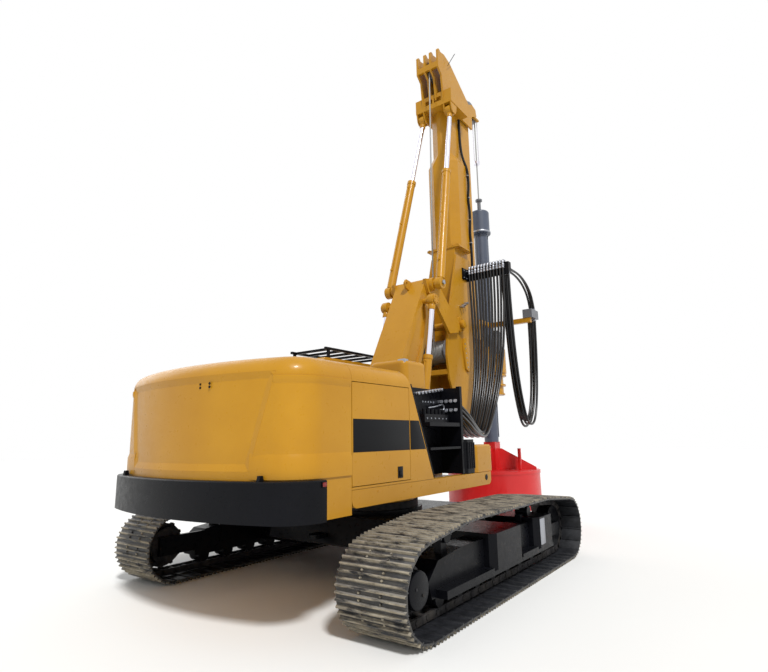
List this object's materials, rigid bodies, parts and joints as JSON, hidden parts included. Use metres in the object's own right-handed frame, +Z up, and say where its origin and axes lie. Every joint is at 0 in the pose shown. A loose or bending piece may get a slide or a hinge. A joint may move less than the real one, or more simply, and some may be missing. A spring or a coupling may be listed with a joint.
{
  "type": "crawler rotary piling rig",
  "caption": "Tracked piling rig: slewing upper with cab and engine hood, luffing boom, tilting mast, rotary drive, sliding kelly bar and drilling bucket",
  "frame": {"origin": "on the ground under the middle of the machine's box", "axes": "+Z up, front of the machine towards -Y, its left side +X"},
  "size_m": [4.66, 8.6819, 9.8619],
  "materials": {
    "yellow_paint": "gloss enamel",
    "black_paint": "gloss enamel",
    "track_steel": "worn, muddy",
    "chrome_rod": "hard chrome",
    "kelly_steel": "satin enamel",
    "red_paint": "gloss enamel",
    "grey_paint": "satin enamel",
    "seat_cloth": "woven seat cover",
    "rope_steel": "greased wire rope",
    "hose_rubber": "smooth hydraulic hose",
    "engine_iron": "cast"
  },
  "bodies": {
    "undercarriage": {"carbody": "black_paint", "cross_beams_left": "black_paint", "cross_beams_right": "black_paint", "slew_ring": "track_steel", "track_frame_left": "black_paint", "track_frame_right": "black_paint", "track_left": "track_steel", "track_right": "track_steel", "sprocket_left": "track_steel", "sprocket_right": "track_steel", "idler_left": "black_paint", "idler_right": "black_paint"},
    "upper": {"deck": "yellow_paint", "side_beam_left": "yellow_paint", "side_beam_right": "yellow_paint", "counterweight": "yellow_paint", "tail_band": "black_paint", "hood": "yellow_paint", "engine": "engine_iron", "valve_cabinet": "black_paint", "tool_box": "black_paint", "front_tank": "yellow_paint", "filter_house": "yellow_paint", "cab": "yellow_paint", "cab_seat": "seat_cloth", "roof_guard": "black_paint"},
    "door_left": {"hood_door_left": "yellow_paint"},
    "door_right": {"hood_door_right": "yellow_paint"},
    "cab_entry": {"cab_door": "yellow_paint"},
    "boom_arm": {"boom": "yellow_paint", "hoses_base": "hose_rubber"},
    "lift_barrels": {"lift_barrel_left": "yellow_paint", "lift_barrel_right": "yellow_paint"},
    "lift_rods": {"lift_rod_left": "chrome_rod", "lift_rod_right": "chrome_rod"},
    "raker_barrels": {"raker_barrel_left": "yellow_paint", "raker_barrel_right": "yellow_paint"},
    "raker_left": {"raker_rod_left": "chrome_rod"},
    "raker_right": {"raker_rod_right": "chrome_rod"},
    "mast_frame": {"mast": "yellow_paint", "guide_rail": "yellow_paint", "mast_head": "yellow_paint", "main_rope": "rope_steel", "hose_rail": "black_paint", "hoist_limit": "chrome_rod", "hoses_rotary": "hose_rubber"},
    "winch": {"winch_drum": "grey_paint"},
    "sheave_rear": {"rear_sheave": "grey_paint"},
    "sheave_front": {"front_sheave": "grey_paint"},
    "rotary": {"carriage": "yellow_paint", "rotary_drive": "yellow_paint", "drive_motors": "grey_paint", "drive_sleeve": "yellow_paint", "hose_manifold": "grey_paint"},
    "swivel_link": {"swivel": "grey_paint"},
    "drill_string": {"kelly": "kelly_steel", "kelly_collar": "kelly_steel", "bucket": "red_paint", "bucket_head": "red_paint"}
  },
  "joints": [
    {"name": "slew", "type": "hinge", "parent": "undercarriage", "child": "upper", "pos_m": [0, 1.04, 0.95], "axis": [0, 0, 1], "continuous": true},
    {"name": "hood_door_left_hinge", "type": "hinge", "parent": "upper", "child": "door_left", "pos_m": [1.51, 3.222, 1.87], "axis": [0, 0, 1], "range_deg": [0, 100]},
    {"name": "hood_door_right_hinge", "type": "hinge", "parent": "upper", "child": "door_right", "pos_m": [-1.51, 3.222, 1.87], "axis": [0, 0, -1], "range_deg": [0, 100]},
    {"name": "cab_door_hinge", "type": "hinge", "parent": "upper", "child": "cab_entry", "pos_m": [1.49, 0.624, 2.1], "axis": [0, 0, 1], "range_deg": [0, 90]},
    {"name": "boom_lift", "type": "hinge", "parent": "upper", "child": "boom_arm", "pos_m": [0, 1.04, 1.75], "axis": [-1, 0, 0], "range_deg": [0, 15], "deforming": ["hoses_base"]},
    {"name": "lift_barrel_swing", "type": "hinge", "parent": "upper", "child": "lift_barrels", "pos_m": [0, 0.34, 1.5], "axis": [-1, 0, 0], "range_deg": [0, 15]},
    {"name": "lift_rod_slide", "type": "slide", "parent": "lift_barrels", "child": "lift_rods", "axis": [0, -0.2068, 0.9784], "range_m": [0, 0.2]},
    {"name": "mast_tilt", "type": "hinge", "parent": "boom_arm", "child": "mast_frame", "pos_m": [0, -1.26, 3.9], "axis": [-1, 0, 0], "range_deg": [-3, 15], "deforming": ["hoses_base"]},
    {"name": "raker_barrel_swing", "type": "hinge", "parent": "boom_arm", "child": "raker_barrels", "pos_m": [0, -0.41, 4.49], "axis": [-1, 0, 0], "range_deg": [-4, 17.5]},
    {"name": "raker_rod_left_slide", "type": "slide", "parent": "raker_barrels", "child": "raker_left", "axis": [-0.0525, -0.2579, 0.9647], "range_m": [-0.25, 0.06]},
    {"name": "raker_rod_right_slide", "type": "slide", "parent": "raker_barrels", "child": "raker_right", "axis": [0.0525, -0.2579, 0.9647], "range_m": [-0.25, 0.06]},
    {"name": "winch_turn", "type": "hinge", "parent": "mast_frame", "child": "winch", "pos_m": [0, -1.26, 3.4], "axis": [1, 0, 0], "continuous": true},
    {"name": "rear_sheave_turn", "type": "hinge", "parent": "mast_frame", "child": "sheave_rear", "pos_m": [0, -1.52, 9.56], "axis": [1, 0, 0], "continuous": true},
    {"name": "front_sheave_turn", "type": "hinge", "parent": "mast_frame", "child": "sheave_front", "pos_m": [0, -3.105, 9.45], "axis": [1, 0, 0], "continuous": true},
    {"name": "crowd_slide", "type": "slide", "parent": "mast_frame", "child": "rotary", "axis": [0, 0, 1], "range_m": [-0.9, 2.2], "deforming": ["hoses_rotary"]},
    {"name": "kelly_hoist", "type": "slide", "parent": "mast_frame", "child": "swivel_link", "axis": [0, 0, 1], "range_m": [0, 0.7]},
    {"name": "kelly_turn", "type": "hinge", "parent": "swivel_link", "child": "drill_string", "pos_m": [0, -3.37, 7], "axis": [0, 0, 1], "continuous": true}
  ],
  "couplings": [
    {"joint": "lift_barrel_swing", "follows": "boom_lift", "ratio": 0.93768},
    {"joint": "lift_rod_slide", "follows": "boom_lift", "m_per_rad": 0.72085},
    {"joint": "raker_barrel_swing", "follows": "mast_tilt", "ratio": 1.1123},
    {"joint": "raker_rod_left_slide", "follows": "mast_tilt", "m_per_rad": -0.92231},
    {"joint": "raker_rod_right_slide", "follows": "mast_tilt", "m_per_rad": -0.92231}
  ]
}
